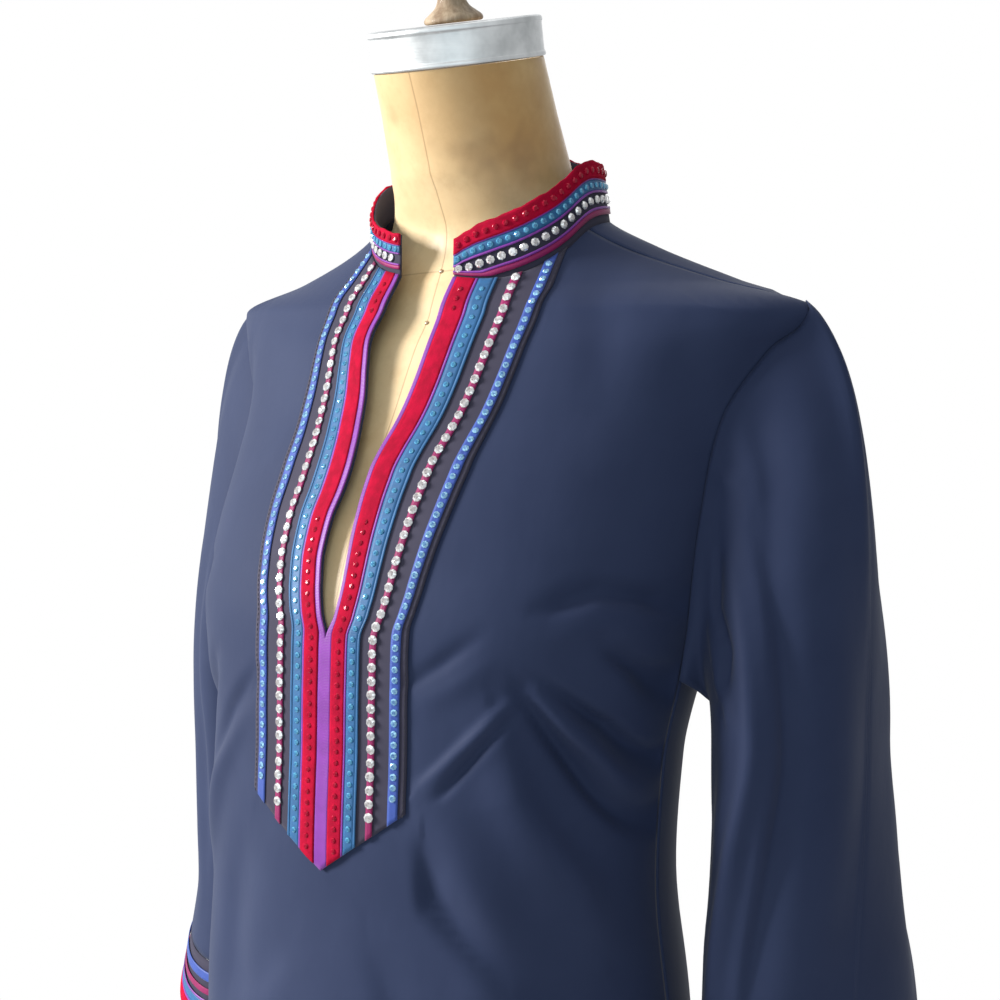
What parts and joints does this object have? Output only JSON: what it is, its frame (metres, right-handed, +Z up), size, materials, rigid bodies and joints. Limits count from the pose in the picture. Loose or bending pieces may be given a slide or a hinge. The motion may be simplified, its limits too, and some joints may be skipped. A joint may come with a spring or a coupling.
{
  "type": "embellished tunic on dress form",
  "caption": "Pullover tunic with a stand collar, slit neck and ribbon bib set with stones, long sleeves with ribbon cuffs, worn on a limbless dress form on a round stand",
  "frame": {"origin": "on the floor, at the centre of the round base's underside", "axes": "+Z up, the wearer faces -Y, the wearer's left is +X"},
  "size_m": [0.5642, 0.43, 1.5958],
  "materials": {
    "cloth": "smooth cotton sateen, navy",
    "trim_ground": "plain weave, charcoal",
    "red_ribbon": "velvet ribbon, red",
    "teal_ribbon": "woven ribbon, teal, with stones",
    "magenta_ribbon": "woven ribbon, magenta, with stones",
    "blue_ribbon": "woven ribbon, periwinkle blue, with stones",
    "purple_ribbon": "satin ribbon, purple",
    "form_paper": "paper layers under shellac, aged amber",
    "cap_metal": "brushed, slightly worn",
    "finial_wood": "turned wood, weathered",
    "stand_pole": "dark painted steel tube",
    "stand_iron": "dark painted cast iron"
  },
  "bodies": {
    "root": {"front": "cloth", "back": "cloth", "sleeve_left": "cloth", "sleeve_right": "cloth", "bib": "trim_ground", "cuff_left": "trim_ground", "cuff_right": "trim_ground", "collar": "trim_ground", "bib_purple": "purple_ribbon", "form_body": "form_paper", "form_cap": "cap_metal", "form_finial": "finial_wood", "form_pole": "stand_pole", "form_base": "stand_iron", "bib_red_left": "red_ribbon", "cuff_left_red": "red_ribbon", "bib_teal_left": "teal_ribbon", "cuff_left_teal": "teal_ribbon", "bib_magenta_left": "magenta_ribbon", "cuff_left_magenta": "magenta_ribbon", "bib_blue_left": "blue_ribbon", "cuff_left_blue": "blue_ribbon", "bib_red_right": "red_ribbon", "cuff_right_red": "red_ribbon", "bib_teal_right": "teal_ribbon", "cuff_right_teal": "teal_ribbon", "bib_magenta_right": "magenta_ribbon", "cuff_right_magenta": "magenta_ribbon", "bib_blue_right": "blue_ribbon", "cuff_right_blue": "blue_ribbon", "collar_magenta": "magenta_ribbon", "collar_teal": "teal_ribbon", "collar_red": "red_ribbon"}
  },
  "joints": []
}
